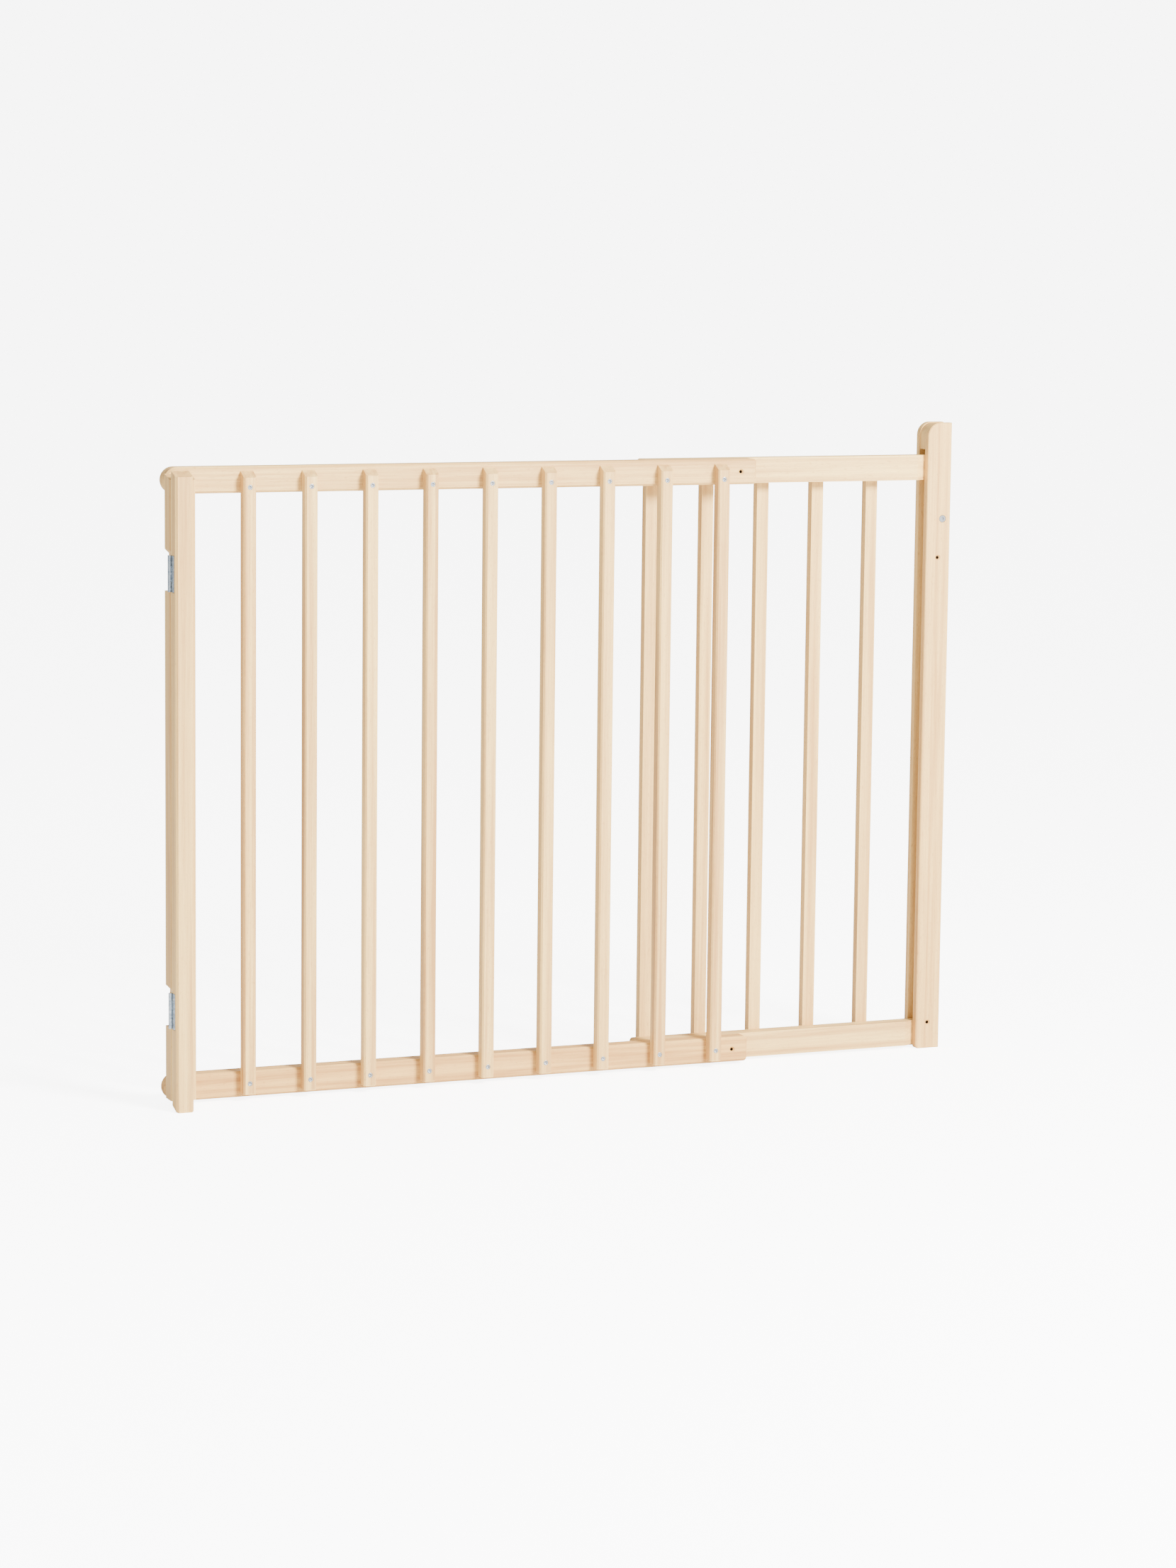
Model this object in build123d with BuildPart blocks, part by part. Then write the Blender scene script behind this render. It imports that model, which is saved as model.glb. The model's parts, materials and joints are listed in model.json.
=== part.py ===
from build123d import *
import os

# Extending wooden safety gate: two slatted panels that slide past each other, hinged to a
# wall batten at the left and held at the right by a catch post with a slot for its tongues.
# Millimetres, +Z up, +X towards the catch, -Y towards the person in front of the gate.
# The origin is on the floor, under the middle of the whole gate's box.

# ---- Driving dimensions ----
front_slat_pitch = 73.0      # centre to centre, leaves gaps of 58 between slats
rear_slat_pitch = 72.0
slat_width = 15.0
slat_depth = 13.0
slat_edge_chamfer = 1.8
slat_bottom = 9.0
slat_top = 724.0
slat_top_slant = 7.0         # the outer edge of the top is this much lower
front_slat_count = 9
rear_slat_count = 5
first_front_slat = 96.5      # left face of the stile to the middle of a panel's first slat
first_rear_slat = 610.5
screw_levels = (21.5, 706.0)

rail_height = 30.0
rail_depth = 20.0
rail_chamfer = 2.5
rail_corner_radius = 4.0
rear_rail_chamfer = 1.0
rail_levels = (4.0, 699.0)   # undersides of the bottom and top rails
front_rail_length = 727.5
rear_rail_start = 590.0
panel_gap = 0.5              # between front and rear rails

stile_width = 30.0
stile_depth = 22.0
stile_bottom = 9.5
stile_screw_offsets = ((10.0, 9.0), (21.0, 19.0))  # across and up from a rail's lower left corner
stile_top = 722.0
upright_slant = 6.0          # slant of the stile's top and of the batten's two ends
upright_chamfer = 2.5
batten_width = 20.5
batten_depth = 18.0
batten_height = 727.0
fold_gap = 3.5               # between batten and stile, room for the hinge barrels

hinge_levels = (115.0, 612.0)
hinge_height = 41.0
knuckle_end = 11.6
knuckle_radius = 2.5
knuckle_gap = 0.15
pin_radius = 1.0
pin_chamfer = 0.2
bore_radius = 1.05
axis_outside = 1.1           # hinge axis to the left of the stile's left face
leaf_thickness = 1.2
wall_leaf_start = 2.8        # axis to the near edge of the wall leaf
wall_leaf_width = 10.4
gate_leaf_start = 1.3
gate_leaf_width = 11.7
leaf_corner = 2.0
leaf_screw_offset = 13.5
notch_depth = 5.0
notch_margin = 0.5

post_width = 31.5
post_height = 768.0
post_left_from_stile = 961.9
board_depth = 9.0
slot_depth = 15.0
post_corner_radius = 15.5
post_foot_radius = 4.0
post_edge_chamfer = 1.0
spacer_bottom = 735.0
spacer_inset = 0.8
strip_width = 13.0
tongue_insert = 13.5
tongue_bevel_length = 12.0
tongue_bevel_depth = 5.5
tongue_bevel_margin = 1.0    # from the bevel's end to the post
slot_clearance = 0.25        # between a tongue and each board
wall_hole_levels = (32.0, 605.0)
wall_hole_radius = 1.75
wall_hole_sink_radius = 3.5
bolt_level = 652.0
bolt_from_right = 10.5
bolt_head_radius = 4.5
bolt_head_height = 1.8
bolt_shank_radius = 2.5
bolt_head_chamfer = 0.5
hex_radius = 2.0
hex_depth = 1.1

groove_start = 383.0         # runner groove, from here to the right end of each front rail
groove_neck_height = 6.0
groove_neck_depth = 3.0
groove_head_height = 12.0
groove_head_depth = 4.0
runner_length = 30.0
runner_offsets = (37.9, 74.9)  # rear rail's left end to the middle of each runner
runner_clearance = 0.3
lock_hole_from_stile = 707.4

screw_bite = 11.0            # how far a screw reaches into the piece behind
screw_clearance = 0.05
slat_screw_head = 3.25
slat_screw_shank = 1.6
leaf_screw_head = 2.3
leaf_screw_shank = 1.2
runner_screw_head = 2.4
runner_screw_shank = 1.2
runner_screw_length = 14.0
recess_width_share = 0.24    # a cross recess as shares of the head's radius and height
recess_length_share = 1.1
recess_depth_share = 0.7

# ---- Places worked out from them ----
overhang = axis_outside + knuckle_radius
gate_length = overhang + post_left_from_stile + post_width
gate_depth = batten_depth + fold_gap + stile_depth + 2 * rail_depth + panel_gap + slat_depth
left = -gate_length / 2 + overhang
batten_front = -gate_depth / 2
batten_back = batten_front + batten_depth
stile_front = batten_back + fold_gap
rail_front = stile_front + stile_depth
rail_back = rail_front + rail_depth
rear_front = rail_back + panel_gap
rear_back = rear_front + rail_depth
axis_x = left - axis_outside
axis_y = batten_back + fold_gap / 2

front_slat_places = [left + first_front_slat + i * front_slat_pitch for i in range(front_slat_count)]
rear_slat_places = [left + first_rear_slat + i * rear_slat_pitch for i in range(rear_slat_count)]
front_rail_right = left + front_rail_length
rear_rail_left = left + rear_rail_start
runner_places = [rear_rail_left + offset for offset in runner_offsets]

post_left = left + post_left_from_stile
post_right = post_left + post_width
post_middle = post_left + post_width / 2
slot_back = rear_back + slot_clearance
slot_front = slot_back - slot_depth
post_front = slot_front - board_depth
post_back = slot_back + board_depth
tongue_end = post_left + tongue_insert
bolt_x = post_right - bolt_from_right

HEAD_FRONT = (0, -1, 0)
HEAD_BACK = (0, 1, 0)
HEAD_LEFT = (-1, 0, 0)

os.makedirs("parts", exist_ok=True)


def planes_at(points, heading):
    """A work plane at each point, its normal pointing the way a screw's head faces."""
    along = (0, 0, 1)
    return [Plane(origin=point, x_dir=along, z_dir=heading) for point in points]


def screw(head_radius, shank_radius, length):
    """A countersunk cross-head wood screw, its head's top at z = 0 and its point below."""
    head_height = head_radius - shank_radius
    recess_width = head_radius * recess_width_share
    recess_length = head_radius * recess_length_share
    with BuildPart() as one:
        with BuildSketch(Plane.XZ):
            with BuildLine():
                Polyline(
                    (0, 0),
                    (head_radius, 0),
                    (shank_radius, -head_height),
                    (shank_radius, -length + 2 * shank_radius),
                    (0, -length),
                    close=True,
                )
            make_face()
        revolve(axis=Axis.Z)
        with BuildSketch(Plane.XY):
            Rectangle(recess_length, recess_width)
            Rectangle(recess_width, recess_length)
        extrude(amount=-head_height * recess_depth_share, mode=Mode.SUBTRACT)
    return one.part


def cut_screw_holes(points, heading, head_radius, shank_radius, depth):
    """Countersunk holes with a little room round the screws placed at the same points."""
    with Locations(*planes_at(points, heading)):
        CounterSinkHole(
            shank_radius + screw_clearance,
            head_radius + screw_clearance,
            depth=depth,
            counter_sink_angle=90,
        )


def cut_plain_holes(points, heading, radius, depth):
    """Straight blind or through holes from the given points inwards."""
    with Locations(*planes_at(points, heading)):
        Hole(radius, depth=depth)


# ---- Where the screws sit ----
slat_screw_length = slat_depth + screw_bite
front_screw_points = [(x, rail_front - slat_depth, z) for x in front_slat_places for z in screw_levels]
rear_screw_points = [(x, rear_back + slat_depth, z) for x in rear_slat_places for z in screw_levels]
stile_screw_points = [
    (left + across, stile_front, z + up)
    for z in rail_levels
    for across, up in stile_screw_offsets
]
leaf_screw_levels = [level + side * leaf_screw_offset for level in hinge_levels for side in (-1, 1)]
wall_leaf_screw_y = axis_y - wall_leaf_start - wall_leaf_width / 2
gate_leaf_screw_y = axis_y + gate_leaf_start + gate_leaf_width / 2
gate_leaf_face = left + notch_depth - leaf_thickness
wall_leaf_screw_points = [(left, wall_leaf_screw_y, z) for z in leaf_screw_levels]
gate_leaf_screw_points = [(gate_leaf_face, gate_leaf_screw_y, z) for z in leaf_screw_levels]
runner_head_front = rail_back - groove_neck_depth - groove_head_depth + runner_clearance
runner_head_back = rail_back - groove_neck_depth - runner_clearance
runner_screw_points = [
    (x, runner_head_front, z + rail_height / 2) for z in rail_levels for x in runner_places
]


def points_on_rail(points, level):
    """The screw points that lie on the rail whose underside is at this level."""
    return [point for point in points if level < point[2] < level + rail_height]


# ---- Slats ----
def make_slat(name, x, inner, outward):
    """An upright slat on the rails' outer faces, screwed on at both rails."""
    outer = inner + outward * slat_depth
    heading = HEAD_FRONT if outward < 0 else HEAD_BACK
    half = slat_width / 2
    points = [(x, outer, z) for z in screw_levels]
    with BuildPart() as slat:
        with BuildSketch(Plane.XY.offset(slat_bottom)):
            with BuildLine():
                Polyline(
                    (x - half, inner),
                    (x - half, outer - outward * slat_edge_chamfer),
                    (x - half + slat_edge_chamfer, outer),
                    (x + half - slat_edge_chamfer, outer),
                    (x + half, outer - outward * slat_edge_chamfer),
                    (x + half, inner),
                    close=True,
                )
            make_face()
        extrude(amount=slat_top - slat_bottom)
        with BuildSketch(Plane.YZ.offset(x)):
            with BuildLine():
                Polyline(
                    (inner, slat_top),
                    (outer + outward, slat_top - slat_top_slant * (1 + 1 / slat_depth)),
                    (outer + outward, slat_top + 1),
                    (inner, slat_top + 1),
                    close=True,
                )
            make_face()
        extrude(amount=slat_width, both=True, mode=Mode.SUBTRACT)
        cut_screw_holes(points, heading, slat_screw_head, slat_screw_shank, slat_depth)
    slat.part.label = name
    export_step(slat.part, f"parts/{name}.step")


for i, slat_x in enumerate(front_slat_places):
    make_slat(f"front_slat_{i + 1}", slat_x, rail_front, -1)
for i, slat_x in enumerate(rear_slat_places):
    make_slat(f"rear_slat_{i + 1}", slat_x, rear_back, 1)

# ---- Screws, one node for each kind ----
slat_screw = screw(slat_screw_head, slat_screw_shank, slat_screw_length)
stile_screw = screw(slat_screw_head, slat_screw_shank, stile_depth + screw_bite)
leaf_screw = screw(leaf_screw_head, leaf_screw_shank, screw_bite)
runner_screw = screw(runner_screw_head, runner_screw_shank, runner_screw_length)

with BuildPart() as front_slat_screws:
    with Locations(*planes_at(front_screw_points, HEAD_FRONT)):
        add(slat_screw)
front_slat_screws.part.label = "front_slat_screws"
export_step(front_slat_screws.part, "parts/front_slat_screws.step")

with BuildPart() as rear_slat_screws:
    with Locations(*planes_at(rear_screw_points, HEAD_BACK)):
        add(slat_screw)
rear_slat_screws.part.label = "rear_slat_screws"
export_step(rear_slat_screws.part, "parts/rear_slat_screws.step")

with BuildPart() as stile_screws:
    with Locations(*planes_at(stile_screw_points, HEAD_FRONT)):
        add(stile_screw)
stile_screws.part.label = "stile_screws"
export_step(stile_screws.part, "parts/stile_screws.step")

with BuildPart() as wall_leaf_screws:
    with Locations(*planes_at(wall_leaf_screw_points, HEAD_LEFT)):
        add(leaf_screw)
wall_leaf_screws.part.label = "wall_leaf_screws"
export_step(wall_leaf_screws.part, "parts/wall_leaf_screws.step")

with BuildPart() as gate_leaf_screws:
    with Locations(*planes_at(gate_leaf_screw_points, HEAD_LEFT)):
        add(leaf_screw)
gate_leaf_screws.part.label = "gate_leaf_screws"
export_step(gate_leaf_screws.part, "parts/gate_leaf_screws.step")

with BuildPart() as runner_screws:
    with Locations(*planes_at(runner_screw_points, HEAD_FRONT)):
        add(runner_screw)
runner_screws.part.label = "runner_screws"
export_step(runner_screws.part, "parts/runner_screws.step")


# ---- Uprights at the hinge ----
def upright_outline(x, width, front, back):
    """Corners of the section of an upright whose two front edges are chamfered."""
    return [
        (x, back),
        (x, front + upright_chamfer),
        (x + upright_chamfer, front),
        (x + width - upright_chamfer, front),
        (x + width, front + upright_chamfer),
        (x + width, back),
    ]


with BuildPart() as hinge_stile:
    with BuildSketch(Plane.XY.offset(stile_bottom)):
        with BuildLine():
            Polyline(*upright_outline(left, stile_width, stile_front, rail_front), close=True)
        make_face()
    extrude(amount=stile_top - stile_bottom)
    with BuildSketch(Plane.YZ.offset(left)):
        with BuildLine():
            Polyline(
                (rail_front, stile_top),
                (stile_front, stile_top - upright_slant),
                (stile_front - 1, stile_top - upright_slant),
                (stile_front - 1, stile_top + 1),
                (rail_front, stile_top + 1),
                close=True,
            )
        make_face()
    extrude(amount=stile_width, mode=Mode.SUBTRACT)
    for level in hinge_levels:
        low = level - hinge_height / 2 - notch_margin
        high = level + hinge_height / 2 + notch_margin
        with BuildSketch(Plane.XZ.offset(-rail_front)):
            with BuildLine():
                Polyline(
                    (left - 1, low),
                    (left + notch_depth, low),
                    (left + notch_depth, high),
                    (left - 1, high + notch_depth + 1),
                    close=True,
                )
            make_face()
        extrude(amount=stile_depth, mode=Mode.SUBTRACT)
    cut_screw_holes(stile_screw_points, HEAD_FRONT, slat_screw_head, slat_screw_shank, stile_depth)
    hinge_hole_points = [(left + notch_depth, y, z) for _, y, z in gate_leaf_screw_points]
    cut_plain_holes(hinge_hole_points, HEAD_LEFT, leaf_screw_shank + screw_clearance, screw_bite)
hinge_stile.part.label = "hinge_stile"
export_step(hinge_stile.part, "parts/hinge_stile.step")

with BuildPart() as wall_batten:
    with BuildSketch(Plane.XY):
        with BuildLine():
            Polyline(*upright_outline(left, batten_width, batten_front, batten_back), close=True)
        make_face()
    extrude(amount=batten_height)
    with BuildSketch(Plane.YZ.offset(left)):
        with BuildLine():
            Polyline(
                (batten_back, batten_height),
                (batten_front, batten_height - upright_slant),
                (batten_front - 1, batten_height - upright_slant),
                (batten_front - 1, batten_height + 1),
                (batten_back, batten_height + 1),
                close=True,
            )
        make_face()
        with BuildLine():
            Polyline(
                (batten_front, 0),
                (batten_back, upright_slant),
                (batten_back + 1, upright_slant),
                (batten_back + 1, -1),
                (batten_front, -1),
                close=True,
            )
        make_face()
    extrude(amount=batten_width, mode=Mode.SUBTRACT)
    recess_back = batten_back + 1
    recess_front = axis_y - wall_leaf_start - wall_leaf_width - screw_clearance
    for level in hinge_levels:
        with BuildSketch(Plane.YZ.offset(left)):
            with Locations(((recess_front + recess_back) / 2, level)):
                Rectangle(recess_back - recess_front, hinge_height + 2 * notch_margin)
        extrude(amount=leaf_thickness, mode=Mode.SUBTRACT)
    hinge_hole_points = [(left + leaf_thickness, y, z) for _, y, z in wall_leaf_screw_points]
    cut_plain_holes(hinge_hole_points, HEAD_LEFT, leaf_screw_shank + screw_clearance, screw_bite)
wall_batten.part.label = "wall_batten"
export_step(wall_batten.part, "parts/wall_batten.step")


# ---- Butt hinges: wall leaf with the middle knuckle, gate leaf with the two end ones ----
def make_wall_leaf(name, level):
    """Leaf let flush into the batten's left face, curled round the pin in the middle."""
    knuckle_height = hinge_height - 2 * knuckle_end - 2 * knuckle_gap
    near = axis_y - wall_leaf_start
    with BuildPart() as leaf:
        with BuildSketch(Plane.YZ.offset(left)) as plate:
            with Locations((near - wall_leaf_width / 2, level)):
                Rectangle(wall_leaf_width, hinge_height)
            fillet(plate.vertices().group_by(Axis.X)[0], leaf_corner)
        extrude(amount=leaf_thickness)
        with BuildSketch(Plane.XY.offset(level - knuckle_height / 2)):
            with Locations((axis_x, axis_y)):
                Circle(knuckle_radius)
            with Locations((left + leaf_thickness / 2, (near - 1 + axis_y) / 2)):
                Rectangle(leaf_thickness, axis_y - near + 1)
            with Locations((axis_x, axis_y)):
                Circle(bore_radius, mode=Mode.SUBTRACT)
        extrude(amount=knuckle_height)
        points = [(left, y, z) for _, y, z in wall_leaf_screw_points if abs(z - level) < hinge_height / 2]
        cut_screw_holes(points, HEAD_LEFT, leaf_screw_head, leaf_screw_shank, leaf_thickness)
    leaf.part.label = name
    export_step(leaf.part, f"parts/{name}.step")


def make_gate_leaf(name, level):
    """Leaf on the floor of the stile's notch, cranked out to its two knuckles."""
    near = axis_y + gate_leaf_start
    with BuildPart() as leaf:
        with BuildSketch(Plane.YZ.offset(gate_leaf_face)) as plate:
            with Locations((near + gate_leaf_width / 2, level)):
                Rectangle(gate_leaf_width, hinge_height)
            fillet(plate.vertices().group_by(Axis.X)[-1], leaf_corner)
        extrude(amount=leaf_thickness)
        for base in (level - hinge_height / 2, level + hinge_height / 2 - knuckle_end):
            with BuildSketch(Plane.XY.offset(base)):
                with Locations((axis_x, axis_y)):
                    Circle(knuckle_radius)
                with Locations(((axis_x + gate_leaf_face + leaf_thickness) / 2, near + leaf_thickness / 2)):
                    Rectangle(gate_leaf_face + leaf_thickness - axis_x, leaf_thickness)
                with Locations((axis_x, axis_y)):
                    Circle(bore_radius, mode=Mode.SUBTRACT)
            extrude(amount=knuckle_end)
        points = [p for p in gate_leaf_screw_points if abs(p[2] - level) < hinge_height / 2]
        cut_screw_holes(points, HEAD_LEFT, leaf_screw_head, leaf_screw_shank, leaf_thickness)
    leaf.part.label = name
    export_step(leaf.part, f"parts/{name}.step")


def make_pin(name, level):
    """Plain steel pin through all three knuckles."""
    with BuildPart() as pin:
        with BuildSketch(Plane.XY.offset(level - hinge_height / 2)):
            with Locations((axis_x, axis_y)):
                Circle(pin_radius)
        extrude(amount=hinge_height)
        chamfer(pin.edges().filter_by(GeomType.CIRCLE), pin_chamfer)
    pin.part.label = name
    export_step(pin.part, f"parts/{name}.step")


for place, level in zip(("lower", "upper"), hinge_levels):
    make_wall_leaf(f"{place}_hinge_wall_leaf", level)
    make_gate_leaf(f"{place}_hinge_gate_leaf", level)
    make_pin(f"{place}_hinge_pin", level)


# ---- Rails ----
def make_front_rail(name, level):
    """Rail with a half-round left end, a tee groove in its back and a lock hole at its right end."""
    middle = level + rail_height / 2
    end_radius = rail_height / 2
    groove_length = front_rail_right - left - groove_start
    groove_middle = front_rail_right - groove_length / 2
    shank_hole = slat_screw_shank + screw_clearance
    screw_points = points_on_rail(front_screw_points + stile_screw_points, level)
    with BuildPart() as rail:
        with BuildSketch(Plane.XZ.offset(-rail_back)) as outline:
            with Locations(((left + end_radius + front_rail_right) / 2, middle)):
                Rectangle(front_rail_length - end_radius, rail_height)
            fillet(outline.vertices().group_by(Axis.X)[-1], rail_corner_radius)
            with Locations((left + end_radius, middle)):
                Circle(end_radius)
        extrude(amount=rail_depth)
        chamfer(rail.faces().sort_by(Axis.Y)[0].edges(), rail_chamfer)
        with BuildSketch(Plane.XZ.offset(-rail_back)):
            with Locations((groove_middle, middle)):
                Rectangle(groove_length, groove_neck_height)
        extrude(amount=groove_neck_depth, mode=Mode.SUBTRACT)
        with BuildSketch(Plane.XZ.offset(-rail_back + groove_neck_depth)):
            with Locations((groove_middle, middle)):
                Rectangle(groove_length, groove_head_height)
        extrude(amount=groove_head_depth, mode=Mode.SUBTRACT)
        lock_point = (left + lock_hole_from_stile, rail_front, middle)
        cut_screw_holes([lock_point], HEAD_FRONT, wall_hole_sink_radius, wall_hole_radius, rail_depth)
        cut_plain_holes([(x, rail_front, z) for x, _, z in screw_points], HEAD_FRONT, shank_hole, screw_bite)
    rail.part.label = name
    export_step(rail.part, f"parts/{name}.step")


def make_rear_rail(name, level):
    """Rail that slides behind the front one, its right end bevelled to a tongue for the catch."""
    middle = level + rail_height / 2
    length = tongue_end - rear_rail_left
    tongue_front = rear_front + tongue_bevel_depth
    bevel_start = post_left - tongue_bevel_margin - tongue_bevel_length
    shank_hole = slat_screw_shank + screw_clearance
    runner_hole = runner_screw_shank + screw_clearance
    slat_points = points_on_rail(rear_screw_points, level)
    with BuildPart() as rail:
        with BuildSketch(Plane.XZ.offset(-rear_back)) as outline:
            with Locations((rear_rail_left + length / 2, middle)):
                Rectangle(length, rail_height)
            fillet(outline.vertices(), rail_corner_radius)
        extrude(amount=rail_depth)
        chamfer(rail.faces().sort_by(Axis.Y)[-1].edges(), rear_rail_chamfer)
        with BuildSketch(Plane.XY.offset(level)):
            with BuildLine():
                Polyline(
                    (bevel_start, rear_front),
                    (bevel_start + tongue_bevel_length, tongue_front),
                    (tongue_end + 1, tongue_front),
                    (tongue_end + 1, rear_front - 1),
                    (bevel_start, rear_front - 1),
                    close=True,
                )
            make_face()
        extrude(amount=rail_height, mode=Mode.SUBTRACT)
        cut_plain_holes([(x, rear_back, z) for x, _, z in slat_points], HEAD_BACK, shank_hole, screw_bite)
        runner_points = [(x, rear_front, middle) for x in runner_places]
        cut_plain_holes(runner_points, HEAD_FRONT, runner_hole, screw_bite)
    rail.part.label = name
    export_step(rail.part, f"parts/{name}.step")


def make_runners(name, level):
    """Two tee-shaped nylon runners, fixed to a rear rail and captive in the front rail's groove."""
    middle = level + rail_height / 2
    places = [(x, middle) for x in runner_places]
    points = [(x, runner_head_front, middle) for x in runner_places]
    head_height = groove_head_height - 2 * runner_clearance
    neck_height = groove_neck_height - 2 * runner_clearance
    with BuildPart() as pair:
        with BuildSketch(Plane.XZ.offset(-runner_head_back)):
            with Locations(*places):
                Rectangle(runner_length, head_height)
        extrude(amount=runner_head_back - runner_head_front)
        with BuildSketch(Plane.XZ.offset(-rear_front)):
            with Locations(*places):
                Rectangle(runner_length, neck_height)
        extrude(amount=rear_front - runner_head_back)
        depth = rear_front - runner_head_front
        cut_screw_holes(points, HEAD_FRONT, runner_screw_head, runner_screw_shank, depth)
    pair.part.label = name
    export_step(pair.part, f"parts/{name}.step")


for place, level in zip(("bottom", "top"), rail_levels):
    make_front_rail(f"front_{place}_rail", level)
    make_rear_rail(f"rear_{place}_rail", level)
    make_runners(f"{place}_runners", level)


# ---- Catch post: two boards with a slot between them for the tongues ----
def make_board(name, front, heading):
    """One board of the catch post, rounded at its two left corners."""
    outer = front if heading == HEAD_FRONT else front + board_depth
    wall_points = [(post_middle, outer, z) for z in wall_hole_levels]
    with BuildPart() as board:
        with BuildSketch(Plane.XZ.offset(-front - board_depth)) as outline:
            with Locations((post_middle, post_height / 2)):
                Rectangle(post_width, post_height)
            fillet(outline.vertices().group_by(Axis.X)[0].sort_by(Axis.Y)[-1], post_corner_radius)
            fillet(outline.vertices().group_by(Axis.Y)[0].sort_by(Axis.X)[0], post_foot_radius)
        extrude(amount=board_depth)
        outer_face = board.faces().sort_by(Axis.Y)[0 if heading == HEAD_FRONT else -1]
        chamfer(outer_face.edges(), post_edge_chamfer)
        cut_screw_holes(wall_points, heading, wall_hole_sink_radius, wall_hole_radius, board_depth)
        bolt_point = [(bolt_x, outer, bolt_level)]
        cut_plain_holes(bolt_point, heading, bolt_shank_radius + screw_clearance, board_depth)
        cut_plain_holes(bolt_point, heading, bolt_head_radius + screw_clearance, bolt_head_height)
    board.part.label = name
    export_step(board.part, f"parts/{name}.step")


make_board("catch_front_board", post_front, HEAD_FRONT)
make_board("catch_rear_board", slot_back, HEAD_BACK)

with BuildPart() as catch_top_spacer:
    with BuildSketch(Plane.XZ.offset(-slot_back)) as outline:
        with Locations((post_middle, (spacer_bottom + post_height) / 2)):
            Rectangle(post_width - 2 * spacer_inset, post_height - spacer_bottom - 2 * spacer_inset)
        fillet(outline.vertices().group_by(Axis.X)[0].sort_by(Axis.Y)[-1], post_corner_radius - spacer_inset)
    extrude(amount=slot_depth)
catch_top_spacer.part.label = "catch_top_spacer"
export_step(catch_top_spacer.part, "parts/catch_top_spacer.step")

with BuildPart() as catch_back_strip:
    with BuildSketch(Plane.XY):
        with Locations((post_right - spacer_inset - strip_width / 2, (slot_front + slot_back) / 2)):
            Rectangle(strip_width, slot_depth)
    extrude(amount=spacer_bottom)
    bolt_point = [(bolt_x, slot_front, bolt_level)]
    cut_plain_holes(bolt_point, HEAD_FRONT, bolt_shank_radius + screw_clearance, slot_depth)
catch_back_strip.part.label = "catch_back_strip"
export_step(catch_back_strip.part, "parts/catch_back_strip.step")

# A connector bolt from the front and a sleeve nut from the back clamp boards and strip together.
bolt_meet = (slot_front + slot_back) / 2
with BuildPart() as catch_bolt:
    with BuildSketch(Plane.XZ.offset(-post_front - bolt_head_height)):
        with Locations((bolt_x, bolt_level)):
            Circle(bolt_head_radius)
    extrude(amount=bolt_head_height)
    chamfer(catch_bolt.faces().sort_by(Axis.Y)[0].edges(), bolt_head_chamfer)
    with BuildSketch(Plane.XZ.offset(-bolt_meet + runner_clearance)):
        with Locations((bolt_x, bolt_level)):
            Circle(bolt_shank_radius)
    extrude(amount=bolt_meet - runner_clearance - post_front - bolt_head_height / 2)
    with BuildSketch(Plane.XZ.offset(-post_front - hex_depth)):
        with Locations((bolt_x, bolt_level)):
            RegularPolygon(hex_radius, 6)
    extrude(amount=hex_depth, mode=Mode.SUBTRACT)
catch_bolt.part.label = "catch_bolt"
export_step(catch_bolt.part, "parts/catch_bolt.step")

with BuildPart() as catch_sleeve_nut:
    with BuildSketch(Plane.XZ.offset(-post_back)):
        with Locations((bolt_x, bolt_level)):
            Circle(bolt_head_radius)
    extrude(amount=bolt_head_height)
    chamfer(catch_sleeve_nut.faces().sort_by(Axis.Y)[-1].edges(), bolt_head_chamfer)
    with BuildSketch(Plane.XZ.offset(-post_back + bolt_head_height / 2)):
        with Locations((bolt_x, bolt_level)):
            Circle(bolt_shank_radius)
    extrude(amount=post_back - bolt_head_height / 2 - bolt_meet - runner_clearance)
catch_sleeve_nut.part.label = "catch_sleeve_nut"
export_step(catch_sleeve_nut.part, "parts/catch_sleeve_nut.step")
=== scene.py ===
# %% [markdown]
# # An extending wooden safety gate
# Two slatted panels of pale beech slide past each other. The left one hangs from a wall batten on
# two small zinc hinges, and the right one ends in tongues that enter a slotted catch post.
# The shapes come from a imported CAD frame, so this lesson is about finish: timber whose grain runs
# the length of each piece, zinc hardware, and screws with real cross recesses. Units are metres.

# %% Load the frame
import bpy
import json
import numpy as np
from mathutils import Matrix, Vector


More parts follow.
